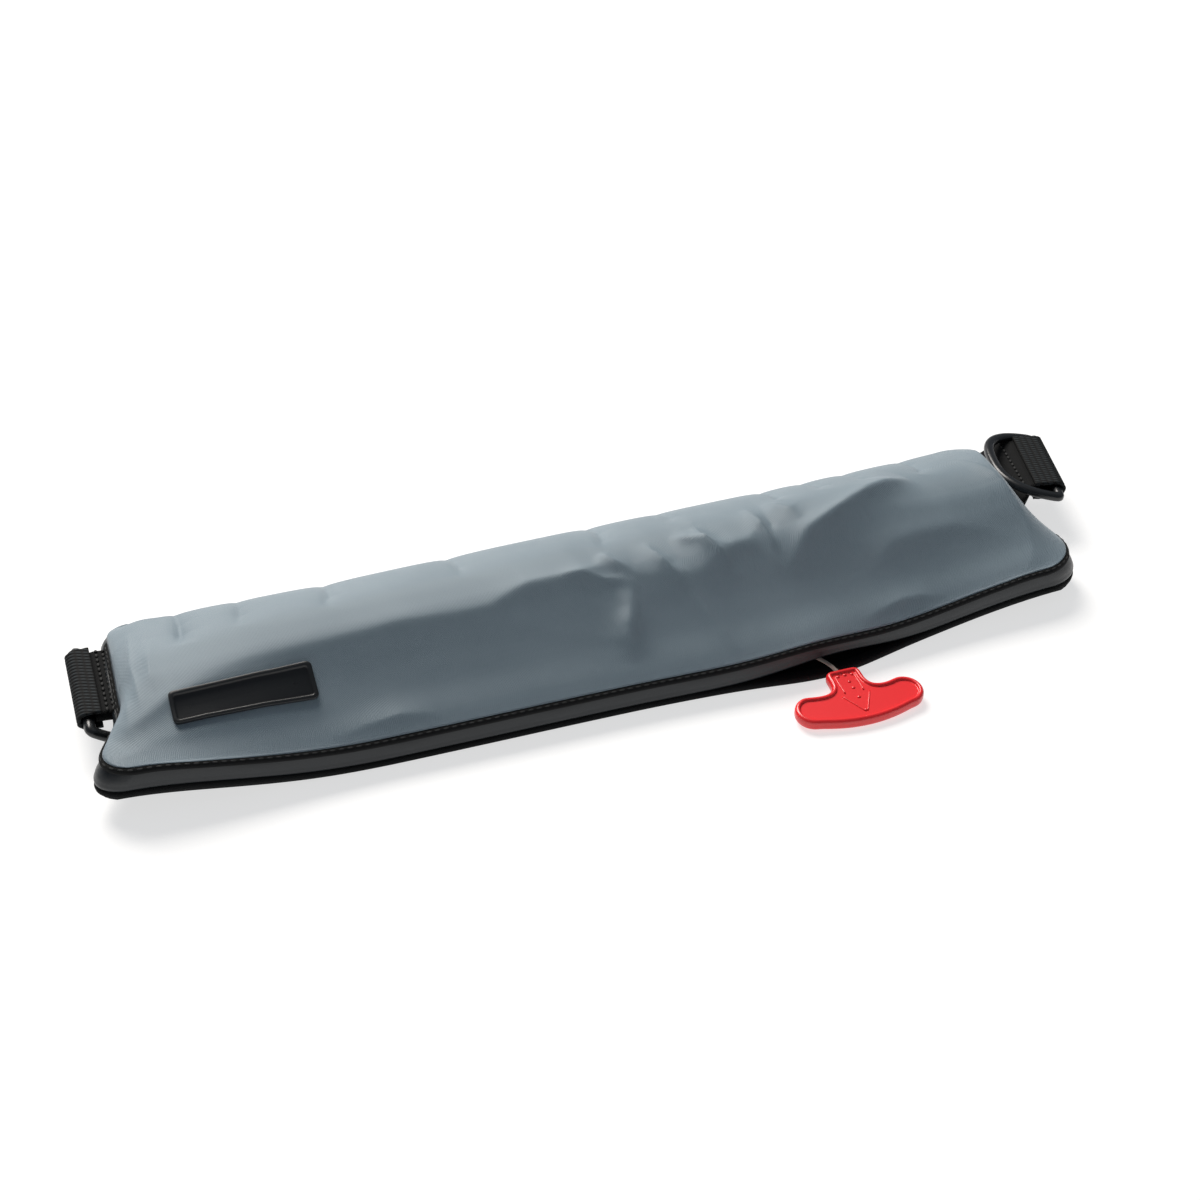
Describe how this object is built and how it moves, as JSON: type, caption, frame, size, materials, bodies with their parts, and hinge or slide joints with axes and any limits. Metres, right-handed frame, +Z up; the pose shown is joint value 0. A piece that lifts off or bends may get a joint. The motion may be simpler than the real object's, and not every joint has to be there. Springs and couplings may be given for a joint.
{
  "type": "inflatable belt pack",
  "caption": "Long soft waist pouch with a stuffed cloth cover, a bound closing edge, webbing loops with D-rings at the ends and a pull handle on a cord",
  "frame": {"origin": "middle of the pouch with its loops, on the surface it lies on", "axes": "+X along the pack to the right-hand loop, +Y from the closing edge to the back, +Z up from the back panel"},
  "size_m": [0.408, 0.133, 0.0453],
  "materials": {
    "grey_cloth": "coated woven nylon, slate blue-grey",
    "black_satin": "satin-coated dark cloth",
    "black_cloth": "matt black woven cloth",
    "black_webbing": "ribbed black webbing",
    "black_rubber": "moulded, matt, left bare",
    "black_plastic": "moulded, satin",
    "red_plastic": "moulded, half gloss",
    "grey_cord": "braided cord"
  },
  "bodies": {
    "pouch": {"front_cover": "grey_cloth", "back_panel": "black_cloth", "closure_band": "black_satin", "edge_piping": "black_cloth", "name_patch": "black_rubber", "strap_tab_left": "black_cloth", "strap_tab_right": "black_cloth", "webbing_loop_left": "black_webbing", "webbing_loop_right": "black_webbing", "pull_cord": "grey_cord", "pull_handle": "red_plastic"},
    "ring_left": {"d_ring_left": "black_plastic"},
    "ring_right": {"d_ring_right": "black_plastic"}
  },
  "joints": [
    {"name": "ring_left_turn", "type": "hinge", "parent": "pouch", "child": "ring_left", "pos_m": [-0.19816, 0.02018, 0.01604], "axis": [0.0695, 0.9945, 0.0785], "range_deg": [0, 150]},
    {"name": "ring_right_turn", "type": "hinge", "parent": "pouch", "child": "ring_right", "pos_m": [0.1951, 0.02617, 0.01758], "axis": [0.2587, 0.9656, 0.0262], "range_deg": [0, 150]}
  ]
}
